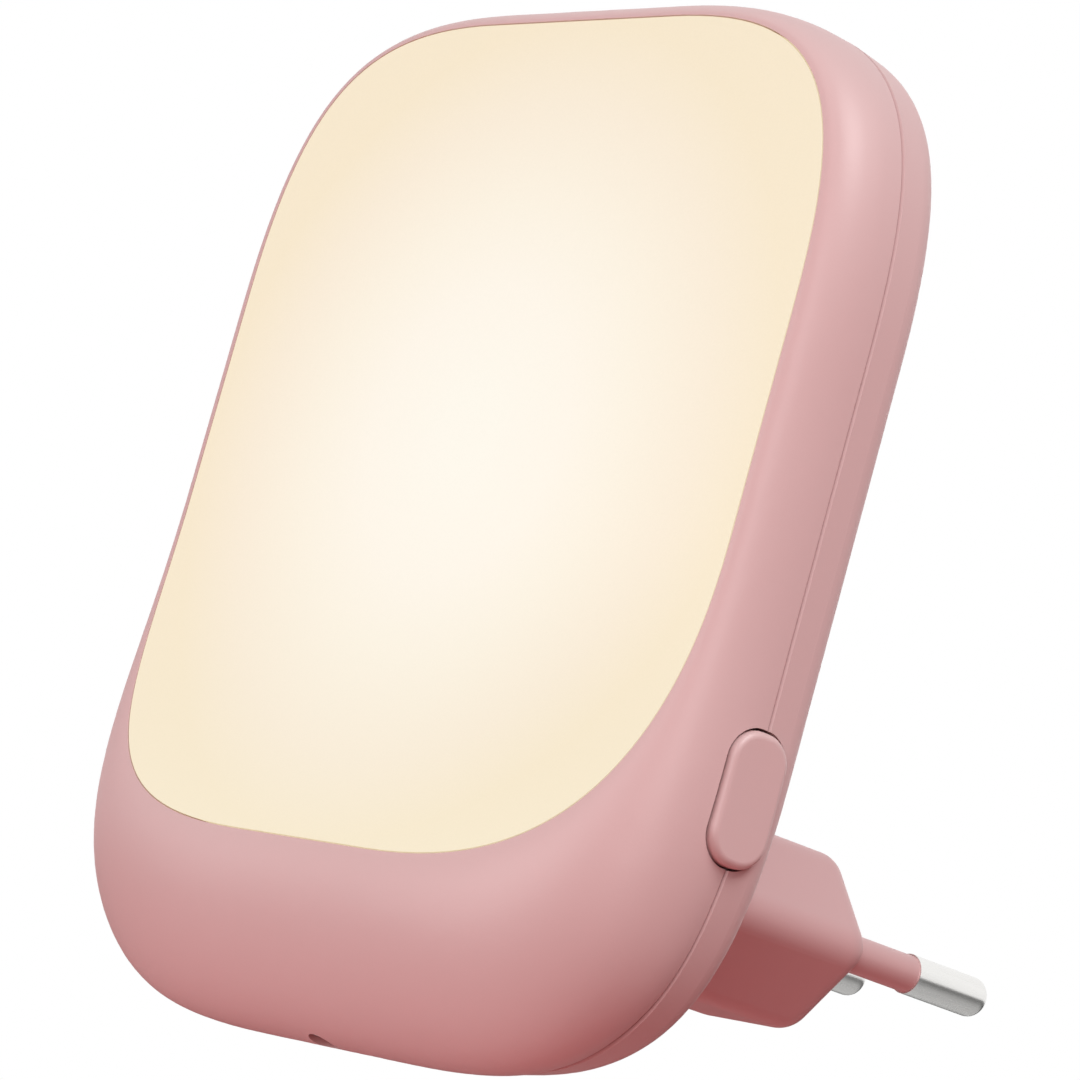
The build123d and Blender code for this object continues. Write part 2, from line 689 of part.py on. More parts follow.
def light_box():
    """White tray that stands on the board and flares out to the back of the diffuser."""
    flare_y = FACE_Y + DIFFUSER_THICKNESS

    def funnel(thinner, base_y):
        mouth = inset(WINDOW, BOX_INSET + thinner)
        foot = inset(WINDOW, FOOT_INSET + thinner)
        return tapered(mouth, foot, flare_y, base_y) + prism(mouth, FRONT_LIMIT, flare_y)

    tray = funnel(0, BOARD_FRONT_Y) - funnel(BOX_WALL, BOARD_FRONT_Y - BOX_BASE)
    tray = tray - face_band(-3 * FACE_REACH, DIFFUSER_THICKNESS + BOX_GAP)
    half_w = LED_WIDTH / 2 + LED_WINDOW_GAP
    half_h = LED_HEIGHT / 2 + LED_WINDOW_GAP
    front = BOARD_FRONT_Y - BOX_BASE - MARGIN
    for x, z in led_places():
        tray = tray - block(x - half_w, x + half_w, front, BOARD_FRONT_Y, z - half_h, z + half_h)
    return tray


# ---- Boards and the parts on them ----

def main_board():
    low = BODY_BOTTOM + MAIN_BOARD_ABOVE_BOTTOM
    half = half_width_at(BODY, low + MAIN_BOARD_CORNER_R) - BOARD_GAP
    outline = (half, BODY_TOP - BOARD_TOP_GAP, low, BODY_TOP_R - BOARD_GAP, MAIN_BOARD_CORNER_R)
    tongue_low = BODY_BOTTOM + TONGUE_ABOVE_BOTTOM
    board = prism(outline, BOARD_FRONT_Y, BOARD_REAR_Y)
    board = board + block(-TONGUE_WIDTH / 2, TONGUE_WIDTH / 2, BOARD_FRONT_Y, BOARD_REAR_Y,
                          tongue_low, low + MARGIN)
    for x, z in board_screw_places():
        board = pierced(board, BOARD_SCREW_R + SCREW_GAP, x, z, BOARD_FRONT_Y, BOARD_REAR_Y)
    return board


def leds():
    front = BOARD_FRONT_Y - LED_THICKNESS
    lamps = []
    for x, z in led_places():
        body = block(x - LED_WIDTH / 2, x + LED_WIDTH / 2, front, BOARD_FRONT_Y,
                     z - LED_HEIGHT / 2, z + LED_HEIGHT / 2)
        lamps.append(pierced(body, LED_LENS_R, x, z, front, front + LED_LENS_DEPTH))
    return Compound(children=lamps)


def controller_chip():
    """Gull-wing chip on the back of the main board."""
    z_mid = BODY_BOTTOM + CHIP_ABOVE_BOTTOM
    chip = block(CHIP_X - CHIP_WIDTH / 2, CHIP_X + CHIP_WIDTH / 2, BOARD_REAR_Y + STANDOFF,
                 BOARD_REAR_Y + CHIP_THICKNESS, z_mid - CHIP_LENGTH / 2, z_mid + CHIP_LENGTH / 2)
    reach = CHIP_WIDTH / 2 + LEAD_REACH
    for row in range(CHIP_ROWS):
        z = z_mid + (row - (CHIP_ROWS - 1) / 2) * LEAD_PITCH
        chip = chip + block(CHIP_X - reach, CHIP_X + reach, BOARD_REAR_Y, BOARD_REAR_Y + LEAD_WIDTH,
                            z - LEAD_WIDTH / 2, z + LEAD_WIDTH / 2)
    return chip


def chip_resistors():
    first = FACE_CENTRE_Z - RESISTOR_PITCH * (RESISTOR_COUNT - 1) / 2
    x0 = RESISTOR_X - RESISTOR_LENGTH / 2
    x1 = RESISTOR_X + RESISTOR_LENGTH / 2
    pieces = []
    for index in range(RESISTOR_COUNT):
        z = first + index * RESISTOR_PITCH
        pieces.append(block(x0, x1, BOARD_REAR_Y, BOARD_REAR_Y + RESISTOR_THICKNESS,
                            z - RESISTOR_WIDTH / 2, z + RESISTOR_WIDTH / 2))
    return Compound(children=pieces)


def driver_board():
    half = block_half_width(BLOCK_WALL, DRIVER_BOTTOM_Z) - DRIVER_SIDE_GAP
    front = -BLOCK_END - DRIVER_FRONT_GAP
    return block(-half, half, BOARD_REAR_Y, front, DRIVER_BOTTOM_Z, DRIVER_TOP_Z)


def film_capacitor():
    y_end = -BLOCK_END - FILM_CAP_FROM_END
    cap = block(-FILM_CAP_WIDTH / 2, FILM_CAP_WIDTH / 2, y_end - FILM_CAP_LENGTH, y_end,
                DRIVER_TOP_Z, DRIVER_TOP_Z + FILM_CAP_HEIGHT)
    return fillet(cap.edges().filter_by(Axis.Y), FILM_CAP_EDGE_R)


def electrolytic_capacitor():
    """Rolled can lying on the driver board, with the crimp near its rubber end."""
    y_end = -BLOCK_END - FILM_CAP_FROM_END - FILM_CAP_LENGTH - CAN_GAP
    y_start = y_end - CAN_LENGTH
    z = DRIVER_TOP_Z + CAN_R
    can = rod(CAN_R, (0, y_start, z), (0, y_end, z))
    can = fillet(can.edges().filter_by(GeomType.CIRCLE), CAN_EDGE_R)
    place = Pos(0, y_start + CAN_CRIMP_FROM_END, z) * Rot(90, 0, 0)
    return can - place * Torus(CAN_R + CAN_CRIMP_R / 2, CAN_CRIMP_R)


def bridge_rectifier():
    y_end = -BLOCK_END - BRIDGE_FROM_END
    top = DRIVER_BOTTOM_Z - STANDOFF
    bridge = block(-BRIDGE_WIDTH / 2, BRIDGE_WIDTH / 2, y_end - BRIDGE_LENGTH, y_end,
                   top - BRIDGE_THICKNESS, top)
    reach = BRIDGE_WIDTH / 2 + LEAD_REACH
    for side in (-1, 1):
        y = y_end - BRIDGE_LENGTH / 2 + side * BRIDGE_LEAD_PITCH / 2
        bridge = bridge + block(-reach, reach, y - LEAD_WIDTH, y + LEAD_WIDTH,
                                DRIVER_BOTTOM_Z - LEAD_WIDTH, DRIVER_BOTTOM_Z)
    return bridge


def fusible_resistor():
    """Axial resistor under the driver board, waisted between its two end caps."""
    y_end = -BLOCK_END - BRIDGE_FROM_END - BRIDGE_LENGTH - FUSE_GAP
    y_start = y_end - FUSE_LENGTH
    z = DRIVER_BOTTOM_Z - FUSE_R
    body = rod(FUSE_WAIST_R, (0, y_start, z), (0, y_end, z))
    for start in (y_start, y_end - FUSE_CAP):
        cap = rod(FUSE_R, (0, start, z), (0, start + FUSE_CAP, z))
        body = body + fillet(cap.edges().filter_by(GeomType.CIRCLE), FUSE_EDGE_R)
    return body


def board_link():
    """Square pins that carry the low voltage from the driver board to the main board."""
    pins = []
    for index in range(LINK_PINS):
        x = (index - (LINK_PINS - 1) / 2) * LINK_PITCH
        pins.append(block(x - LINK_SIZE / 2, x + LINK_SIZE / 2, BOARD_REAR_Y,
                          BOARD_REAR_Y + LINK_LENGTH, DRIVER_BOTTOM_Z - LINK_SIZE, DRIVER_BOTTOM_Z))
    return Compound(children=pins)


# ---- Plug ----

def pin_frame(side):
    """Place of a pin: its root on the end face, leaning in towards the other pin's tip."""
    lean = math.degrees(math.atan2((PIN_SPACING_ROOT - PIN_SPACING_TIP) / 2, PIN_LENGTH))
    return Pos(side * PIN_SPACING_ROOT / 2, 0, 0) * Rot(0, 0, side * lean)


def on_pin_axis(radius, y_start, y_end):
    return rod(radius, (0, y_start, 0), (0, y_end, 0))


def contact_pin(side):
    bare = on_pin_axis(PIN_R, SLEEVE_LENGTH, PIN_LENGTH)
    bare = fillet(bare.edges().filter_by(GeomType.CIRCLE).sort_by(Axis.Y)[-1], PIN_TIP_R)
    collar_y = -BLOCK_END - COLLAR_GAP
    core = on_pin_axis(CORE_R, collar_y, SLEEVE_LENGTH)
    collar = on_pin_axis(COLLAR_R, collar_y - COLLAR_THICKNESS, collar_y)
    tail = on_pin_axis(TAIL_R, collar_y - TAIL_LENGTH, collar_y)
    return pin_frame(side) * (bare + core + collar + tail)


def pin_sleeve(side):
    sleeve = on_pin_axis(SLEEVE_R, -SLEEVE_ROOT, SLEEVE_LENGTH)
    return pin_frame(side) * (sleeve - on_pin_axis(CORE_R + PIN_GAP, -SLEEVE_ROOT, SLEEVE_LENGTH))


def pin_hole(side):
    """Stepped hole for a sleeve and its pin, with a shallow recess round the sleeve's root."""
    hole = on_pin_axis(SLEEVE_R + PIN_GAP, -SLEEVE_ROOT, MARGIN)
    hole = hole + on_pin_axis(CORE_R + PIN_GAP, -BLOCK_END - MARGIN, 0)
    return pin_frame(side) * (hole + on_pin_axis(PIN_RECESS_R, -PIN_RECESS, MARGIN))


def plug_block():
    body = block_prism(0, FLANGE_Y, 0)
    body = fillet(body.faces().sort_by(Axis.Y)[-1].edges(), BLOCK_END_R)
    flange_width = 2 * (BLOCK_SCREW_X + FLANGE_MARGIN)
    flange_height = 2 * (BLOCK_SCREW_Z + FLANGE_MARGIN)
    body = body + rounded_slab(flange_width, flange_height, FLANGE_R, FLANGE_Y, FLOOR_Y)
    body = body - block_prism(BLOCK_WALL, FLANGE_Y, -BLOCK_END)
    body = body - pin_hole(-1) - pin_hole(1)
    for x, z in block_screw_places():
        pad_y = FLOOR_Y - LOCATOR_RISE - LOCATOR_GAP
        body = pierced(body, LOCATOR_R + LOCATOR_GAP, x, z, pad_y, FLOOR_Y)
        body = pierced(body, BLOCK_SCREW_R + SCREW_GAP / 2, x, z, FLANGE_Y, pad_y)
    return body


# ---- Screws ----

def screw(head_r, head_height, shaft_r, x, z, seat_y, tip_y):
    """Pan-head screw with a cross recess; its head sits at seat_y."""
    way = 1 if tip_y > seat_y else -1
    top_y = seat_y - way * head_height
    head = rod(head_r, (x, top_y, z), (x, seat_y, z))
    rims = head.edges().filter_by(GeomType.CIRCLE).sort_by(Axis.Y)
    head = fillet(rims[0] if way > 0 else rims[-1], HEAD_EDGE_R)
    y0, y1 = sorted((top_y, top_y + way * head_height * RECESS_DEPTH))
    long = head_r * RECESS_SPAN
    short = RECESS_WIDTH / 2
    for half_x, half_z in ((long, short), (short, long)):
        head = head - block(x - half_x, x + half_x, y0, y1, z - half_z, z + half_z)
    return head + rod(shaft_r, (x, seat_y, z), (x, tip_y, z))


def case_screws():
    seat_y = BACK_Y - CASE_HEAD_HEIGHT - SCREW_GAP
    tip_y = PARTING_Y - CASE_SCREW_BITE
    return Compound(children=[screw(CASE_HEAD_R, CASE_HEAD_HEIGHT, CASE_SCREW_R, x, z, seat_y, tip_y)
                              for x, z in case_screw_places()])


def board_screws():
    tip_y = BOARD_REAR_Y + BOARD_SCREW_BITE
    return Compound(children=[screw(BOARD_HEAD_R, BOARD_HEAD_HEIGHT, BOARD_SCREW_R, x, z,
                                    BOARD_FRONT_Y, tip_y)
                              for x, z in board_screw_places()])


def block_screws():
    tip_y = BACK_Y - FLOOR_SKIN - SCREW_TIP_GAP
    return Compound(children=[screw(BLOCK_HEAD_R, BLOCK_HEAD_HEIGHT, BLOCK_SCREW_R, x, z, FLANGE_Y, tip_y)
                              for x, z in block_screw_places()])


# ---- Button and switch ----

def on_switch_axis(radius, x_start, x_end):
    return rod(radius, (x_start, SWITCH_Y, BUTTON_Z), (x_end, SWITCH_Y, BUTTON_Z))


def side_button():
    cap = button_bar(0, BUTTON_FLANGE_X, BUTTON_FACE_X)
    cap = fillet(cap.faces().sort_by(Axis.X)[-1].edges(), BUTTON_EDGE_R)
    half = BUTTON_HEIGHT / 2 + BUTTON_FLANGE_OVERLAP
    flange = block(BUTTON_REAR_X, BUTTON_FLANGE_X, BUTTON_Y - BUTTON_WIDTH / 2,
                   BUTTON_Y + BUTTON_WIDTH / 2, BUTTON_Z - half, BUTTON_Z + half)
    flange = fillet(flange.edges().filter_by(Axis.X), BUTTON_FLANGE_R)
    return cap + flange + on_switch_axis(STEM_R, STEM_X, BUTTON_REAR_X)


def switch_body():
    face = SWITCH_FACE_X - SWITCH_COVER
    body = block(face - SWITCH_DEPTH, face, BOARD_FRONT_Y - SWITCH_RISE, BOARD_FRONT_Y,
                 BUTTON_Z - SWITCH_HEIGHT / 2, BUTTON_Z + SWITCH_HEIGHT / 2)
    return body - on_switch_axis(SWITCH_BORE_R, face - SWITCH_BORE, face)


def switch_cover():
    """Sheet-metal cap over the switch's face, with a leg down each end."""
    x0 = SWITCH_FACE_X - SWITCH_COVER
    z0 = BUTTON_Z - SWITCH_HEIGHT / 2
    z1 = BUTTON_Z + SWITCH_HEIGHT / 2
    y0 = BOARD_FRONT_Y - SWITCH_RISE
    plate = block(x0, SWITCH_FACE_X, y0, BOARD_FRONT_Y, z0 - SWITCH_COVER, z1 + SWITCH_COVER)
    plate = plate - on_switch_axis(PLUNGER_R + PLUNGER_HOLE_GAP, x0, SWITCH_FACE_X)
    for low, high in ((z0 - SWITCH_COVER, z0), (z1, z1 + SWITCH_COVER)):
        plate = plate + block(x0 - SWITCH_DEPTH, x0, y0 + SWITCH_LEG_SETBACK, BOARD_FRONT_Y, low, high)
    return plate


def switch_plunger():
    x_collar = SWITCH_FACE_X - SWITCH_COVER - PLUNGER_PLAY
    collar = on_switch_axis(PLUNGER_COLLAR_R, x_collar - PLUNGER_COLLAR, x_collar)
    return collar + on_switch_axis(PLUNGER_R, x_collar, PLUNGER_X)


def snap_dome():
    """Thin sprung disc with a centre hole, on the floor of the switch's bore."""
    floor = SWITCH_FACE_X - SWITCH_COVER - SWITCH_BORE
    curve_r = (DOME_R**2 + DOME_RISE**2) / (2 * DOME_RISE)

    def profile(crown):
        return [Vector(crown - curve_r + math.sqrt(curve_r**2 - r**2), SWITCH_Y + r, BUTTON_Z)
                for r in (DOME_R, DOME_R / 2, DOME_HOLE_R)]

    under = profile(floor + DOME_RISE)
    over = list(reversed(profile(floor + DOME_RISE + DOME_SHEET)))
    wire = Wire([Edge.make_three_point_arc(*under), Edge.make_line(under[2], over[0]),
                 Edge.make_three_point_arc(*over), Edge.make_line(over[2], under[0])])
    return revolve(Face(wire), Axis((floor, SWITCH_Y, BUTTON_Z), (1, 0, 0)))


# ---- Light sensor under the chin ----

def sensor_lens():
    """Light pipe pressed into the hole under the chin, rounded at its outer end."""
    underside = chin_underside_z()
    pipe = on_sensor_axis(SENSOR_HOLE_R - LENS_GAP, underside + LENS_INSET, underside + WALL + LENS_RISE)
    return fillet(pipe.edges().filter_by(GeomType.CIRCLE).sort_by(Axis.Z)[0], LENS_INSET)


def light_sensor():
    """Domed sensor behind the light pipe, with two legs bent over to the board's tongue."""
    bottom = chin_underside_z() + WALL + LENS_RISE + SENSOR_GAP
    top = bottom + SENSOR_LENGTH
    body = on_sensor_axis(SENSOR_R, bottom, top)
    body = fillet(body.edges().filter_by(GeomType.CIRCLE).sort_by(Axis.Z)[0], SENSOR_DOME_R)
    body = body + on_sensor_axis(SENSOR_RIM_R, top - SENSOR_RIM, top)
    leg_top = top + SENSOR_LEAD_RISE
    for x in (-SENSOR_LEAD_PITCH / 2, SENSOR_LEAD_PITCH / 2):
        body = body + rod(SENSOR_LEAD_R, (x, SENSOR_Y, top), (x, SENSOR_Y, leg_top))
        body = body + rod(SENSOR_LEAD_R, (x, SENSOR_Y, leg_top), (x, BOARD_FRONT_Y, leg_top))
        body = body + Pos(x, SENSOR_Y, leg_top) * Sphere(SENSOR_LEAD_R)
    return body


# ---- Write every piece ----

PIECES = {
    "front_shell": front_shell,
    "rear_cover": rear_cover,
    "diffuser": diffuser,
    "light_box": light_box,
    "main_board": main_board,
    "leds": leds,
    "controller_chip": controller_chip,
    "chip_resistors": chip_resistors,
    "driver_board": driver_board,
    "board_link": board_link,
    "film_capacitor": film_capacitor,
    "electrolytic_capacitor": electrolytic_capacitor,
    "bridge_rectifier": bridge_rectifier,
    "fusible_resistor": fusible_resistor,
    "plug_block": plug_block,
    "contact_pin_left": lambda: contact_pin(-1),
    "contact_pin_right": lambda: contact_pin(1),
    "pin_sleeve_left": lambda: pin_sleeve(-1),
    "pin_sleeve_right": lambda: pin_sleeve(1),
    "case_screws": case_screws,
    "board_screws": board_screws,
    "block_screws": block_screws,
    "side_button": side_button,
    "switch_body": switch_body,
    "switch_cover": switch_cover,
    "switch_plunger": switch_plunger,
    "snap_dome": snap_dome,
    "light_sensor": light_sensor,
    "sensor_lens": sensor_lens,
}

os.makedirs("parts", exist_ok=True)
for name, build in PIECES.items():
    export_step(build(), f"parts/{name}.step")
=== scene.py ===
# %% [markdown]
# # A plug-in night light
# The light is a rounded square case on a plug block. Nearly all of its front is one opal panel
# that glows, and the case round it is a dusty pink moulding. The solids of every piece come in
# first and stay exactly where they are; this lesson gives them their finishes, adds the marks
# that moulding and turning leave behind, and lights the result.

# %% Load the solids
import bpy
import bmesh
import math
from mathutils import Matrix, Vector


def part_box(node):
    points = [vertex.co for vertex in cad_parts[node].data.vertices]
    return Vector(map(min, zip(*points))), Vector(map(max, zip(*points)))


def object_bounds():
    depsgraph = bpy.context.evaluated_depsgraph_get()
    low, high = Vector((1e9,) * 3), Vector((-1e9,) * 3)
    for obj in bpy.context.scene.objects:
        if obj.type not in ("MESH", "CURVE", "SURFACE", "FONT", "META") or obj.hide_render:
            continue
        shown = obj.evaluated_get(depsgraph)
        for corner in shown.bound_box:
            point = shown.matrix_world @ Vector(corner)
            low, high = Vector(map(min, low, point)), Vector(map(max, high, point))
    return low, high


MM = 0.001

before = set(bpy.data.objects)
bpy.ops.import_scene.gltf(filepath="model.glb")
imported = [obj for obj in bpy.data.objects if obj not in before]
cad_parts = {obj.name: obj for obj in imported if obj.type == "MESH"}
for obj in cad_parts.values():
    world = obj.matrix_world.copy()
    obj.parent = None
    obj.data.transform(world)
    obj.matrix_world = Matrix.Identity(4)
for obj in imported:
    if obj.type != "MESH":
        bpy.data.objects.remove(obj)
solid_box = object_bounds()
print("size of the solids in mm:", [round(v / MM, 1) for v in solid_box[1] - solid_box[0]])

# %% [markdown]
# ## Shader maths
# A finish is easier to read as a sum than as a tangle of wires. One small class wraps a socket,
# so that an expression such as `mask * 0.3 + 1` adds its own Math nodes. A Math node works on
# single numbers and would turn a colour grey, so colours and points are left to other nodes.

# %% A socket that can be added and multiplied
class Flow:
    """One output socket of a wiring's nodes."""

    def __init__(self, wiring, socket):
        self.wiring = wiring
        self.socket = socket

    def __add__(self, other):
        return self.wiring.maths("ADD", self, other)

    def __radd__(self, other):
        return self.wiring.maths("ADD", other, self)

    def __sub__(self, other):
        return self.wiring.maths("SUBTRACT", self, other)

    def __rsub__(self, other):
        return self.wiring.maths("SUBTRACT", other, self)

    def __mul__(self, other):
        return self.wiring.maths("MULTIPLY", self, other)

    def __rmul__(self, other):
        return self.wiring.maths("MULTIPLY", other, self)

    def __truediv__(self, other):
        return self.wiring.maths("DIVIDE", self, other)

    def __rtruediv__(self, other):
        return self.wiring.maths("DIVIDE", other, self)


print("a flow adds a Math node for each + - * and /")

# %% [markdown]
# ## One way to make a node
# Every other node comes from one method. It takes the node's type, then its settings, then what
# goes into its sockets, and it hands back one of the outputs as a flow. The settings come first
# because some of them, such as the data type of a Mix node, change which sockets there are. The
# same class serves the sky as well as the materials.

# %% A wiring: the nodes of one tree
class Wiring:
    """The nodes of one material or world, and how they are joined."""

    def __init__(self, tree):
        self.tree = tree
        self.nodes = tree.nodes

    def plug(self, socket, value):
        if isinstance(value, Flow):
            self.tree.links.new(value.socket, socket)
        else:
            socket.default_value = value

    def node(self, kind, settings=None, inputs=None, output=0):
        made = self.nodes.new(kind)
        for word, value in (settings or {}).items():
            if word == "stops":
                self.fill_ramp(made.color_ramp, value)
            else:
                setattr(made, word, value)
        for key, value in (inputs or {}).items():
            self.plug(made.inputs[key], value)
        return Flow(self, made.outputs[output])

    def maths(self, operation, *values):
        return self.node("ShaderNodeMath", {"operation": operation}, dict(enumerate(values)))

    def fill_ramp(self, ramp, stops):
        while len(ramp.elements) > len(stops):
            ramp.elements.remove(ramp.elements[-1])
        while len(ramp.elements) < len(stops):
            ramp.elements.new(1.0)
        for element, (position, colour) in zip(ramp.elements, stops):
            element.position = position
            element.color = colour

    def any_ray(self, kinds):
        """1 for the kinds of rays that are named, 0 for all others."""
        found = self.node("ShaderNodeLightPath", output=kinds[0])
        for kind in kinds[1:]:
            found = self.maths("MAXIMUM", found, self.node("ShaderNodeLightPath", output=kind))
        return found

    def blend(self, ordinary, special, share):
        return self.node("ShaderNodeMixShader", {}, {0: share, 1: ordinary, 2: special})

    def show(self, end_node, shader):
        """Make this shader the one that the tree gives out."""
        self.plug(self.nodes[end_node].inputs["Surface"], shader)


print("a wiring makes nodes, maths, ramps and blends, and shows a shader")

# %% [markdown]
# ## Paints
# A paint is one material. It keeps the Principled shader that comes with a new material, and
# adds the short words that the finishes need: noise of a given size, a mix of two colours, a
# bump of a given depth, and dressing a piece. Noise is laid out in the object's own millimetres,
# so a grain that is said to be a quarter of a millimetre is that on every piece.

# %% A paint: one material
class Paint(Wiring):
    """One material, with short words for the finishes of this object."""

    def __init__(self, name, **values):
        self.material = bpy.data.materials.new(name)
        self.material.use_nodes = True
        super().__init__(self.material.node_tree)
        self.shader = self.nodes["Principled BSDF"]
        self.set(**values)

    def set(self, **values):
        for word, value in values.items():
            self.plug(self.shader.inputs[word.replace("_", " ")], value)

    def scaled(self, point, factors):
        return self.node("ShaderNodeVectorMath", {"operation": "MULTIPLY"}, {0: point, 1: factors})

    def place(self):
        """The point on the object, in millimetres."""
        return self.scaled(self.node("ShaderNodeTexCoord", output="Object"), (1 / MM,) * 3)

    def noise(self, size_mm, detail=2.0, rates=(1, 1, 1)):
        """Noise of this size; a rate below 1 draws it out along x, y or z."""
        point = self.scaled(self.place(), tuple(rate / size_mm for rate in rates))
        return self.node("ShaderNodeTexNoise", {}, {"Vector": point, "Scale": 1.0, "Detail": detail})

    def mix(self, first, second, share):
        sockets = {0: share, 6: first, 7: second}
        return self.node("ShaderNodeMix", {"data_type": "RGBA"}, sockets, output=2)

    def bump(self, height, depth_mm):
        sockets = {"Height": height, "Distance": depth_mm * MM, "Strength": 1.0}
        return self.node("ShaderNodeBump", {}, sockets)

    def dress(self, *names):
        for name in names:
            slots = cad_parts[name].data.materials
            for index in range(len(slots)):
                slots[index] = self.material
        print(self.material.name, "on:", ", ".join(names))


print("a paint makes noise, mixes and bumps, and dresses pieces")

# %% [markdown]
# ## The moulded pink
# The case, the plug block and the button come out of a steel tool that has been eroded by
# sparks, so the plastic is not smooth: the case has a grain about a quarter of a millimetre
# across that turns a sharp reflection into a soft sheen. The pigment is even, with only a faint
# drift where the melt flowed. The plug block and the sleeves on the pins are painted a darker,
# redder pink than the case, as painted shade for the block that sits in shadow behind the case.
#
# The grain could be displaced into the mesh, but it is far finer than the mesh is. A bump made
# from noise needs no faces, and the same noise also varies the roughness.

# %% Pink plastic with a spark-eroded grain
PINK = (0.60, 0.411, 0.406, 1)
PINK_DEEP = (0.565, 0.358, 0.356, 1)
# painted shade: the plug block and pin sleeves get a darker, redder copy of the case pink
SHADED_PLUG_PINK = (0.582, 0.358, 0.357, 1)
SHADED_PLUG_PINK_DEEP = (0.548, 0.311, 0.313, 1)
DRIFT_MM = 30
DRIFT_SHARE = 0.6
GRAIN_ROUGHNESS = 0.12


def moulded(name, light, deep, grain_mm, depth_mm, rough):
    paint = Paint(name)
    drift = paint.noise(DRIFT_MM, detail=1.0)
    grain = paint.noise(grain_mm, detail=3.0)
    paint.colour = paint.mix(light, deep, drift * DRIFT_SHARE)
    paint.set(Base_Color=paint.colour, Roughness=grain * GRAIN_ROUGHNESS + rough,
              Normal=paint.bump(grain, depth_mm))
    return paint


case_pink = moulded("case_pink", PINK, PINK_DEEP, grain_mm=0.28, depth_mm=0.006, rough=0.42)
button_pink = moulded("button_pink", PINK, PINK_DEEP, grain_mm=0.2, depth_mm=0.003, rough=0.36)
shaded_block_pink = moulded("shaded_block_pink", SHADED_PLUG_PINK, SHADED_PLUG_PINK_DEEP, grain_mm=0.28, depth_mm=0.006, rough=0.42)
sleeve_pink = moulded("sleeve_pink", SHADED_PLUG_PINK, SHADED_PLUG_PINK_DEEP, grain_mm=0.5, depth_mm=0.002, rough=0.34)
button_pink.dress("side_button")
shaded_block_pink.dress("plug_block")
sleeve_pink.dress("pin_sleeve_left", "pin_sleeve_right")

# %% [markdown]
# ## Painted shade in the groove between shell and cover
# The shell and the cover meet in a fine V groove. Little light gets into it, so the line reads
# dark, and that shade is painted into the base colour as a darker rose. The faces of the groove
# could have a material of their own, but the painted shade would end in a hard edge. Here it is
# worked out from the distance to the plane in which the two meet, so it follows the groove all round and
# fades out at its edges.

# %% Painted shade in the groove
PAINTED_SEAM_SHADE = (0.30, 0.14, 0.14, 1)
PAINTED_SHADE_SHARE = 0.6
SEAM_HALF_MM = 0.22
COVER_DEPTH_MM = 5.8
seam_plane_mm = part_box("rear_cover")[1].y / MM - COVER_DEPTH_MM
print("seam plane at y in mm:", round(seam_plane_mm, 2))

y_mm = case_pink.node("ShaderNodeSeparateXYZ", {}, {0: case_pink.place()}, output="Y")
from_seam = case_pink.maths("ABSOLUTE", y_mm - seam_plane_mm)
painted_shade_mask = case_pink.maths("MAXIMUM", 1 - from_seam / SEAM_HALF_MM, 0.0)
# painted shade: the base colour turns dark rose near the plane where shell and cover meet
case_pink.set(Base_Color=case_pink.mix(case_pink.colour, PAINTED_SEAM_SHADE, painted_shade_mask * PAINTED_SHADE_SHARE))
case_pink.dress("front_shell", "rear_cover")

# %% [markdown]
# ## The opal panel
# The panel is milky plastic with lamps behind it. The white tray behind spreads their light,
# so from the front it is one soft oval, brightest in the middle and a little warmer at the
# edge, where the light has passed through more plastic.
#
# Real lamps behind a translucent solid would take very many samples to come out clean. Here the
# panel gives off the light itself. Its colour is worked out from the distance to the panel's
# centre, so it stays on the panel from every side. The plastic's own colour is kept low,
# because the lamps outside light it as well, and the sum must not clip.

# %% Glow that fades and warms towards the edge
GLOW = [(0.10, (0.592, 0.597, 0.515, 1)),
        (0.35, (0.594, 0.580, 0.492, 1)),
        (0.55, (0.580, 0.553, 0.440, 1)),
        (0.80, (0.560, 0.502, 0.368, 1)),
        (1.00, (0.546, 0.475, 0.300, 1))]
OPAL = (0.285, 0.275, 0.255, 1)
OPAL_LIGHT = (0.315, 0.305, 0.285, 1)
FROST_MM = 0.18
FROST_DEPTH_MM = 0.003
panel_low, panel_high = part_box("diffuser")
panel_centre = (panel_low + panel_high) / 2
panel_half = (panel_high - panel_low) / 2
print("panel centre in mm:", [round(v / MM, 1) for v in panel_centre])

opal = Paint("opal_panel", Roughness=0.38)
from_centre = opal.node("ShaderNodeVectorMath", {"operation": "SUBTRACT"},
                        {0: opal.place(), 1: (0, 0, panel_centre.z / MM)})
in_halves = opal.scaled(from_centre, (MM / panel_half.x, 0, MM / panel_half.z))
reach = opal.node("ShaderNodeVectorMath", {"operation": "LENGTH"}, {0: in_halves}, output="Value")
glow = opal.node("ShaderNodeValToRGB", {"stops": GLOW}, {"Fac": reach})
frosting = opal.noise(FROST_MM)
opal.set(Base_Color=opal.mix(OPAL, OPAL_LIGHT, frosting), Normal=opal.bump(frosting, FROST_DEPTH_MM),
         Emission_Color=glow, Emission_Strength=1.0)
opal.dress("diffuser")

# %% [markdown]
# ## The pins
# The pins are turned from brass and plated with nickel. Turning leaves fine rings round the
# pin, and pushing it into sockets leaves faint scratches along it. A wave pattern would give
# rings that are too even, so both are noise, drawn out round the pin for the rings and along it
# for the scratches.

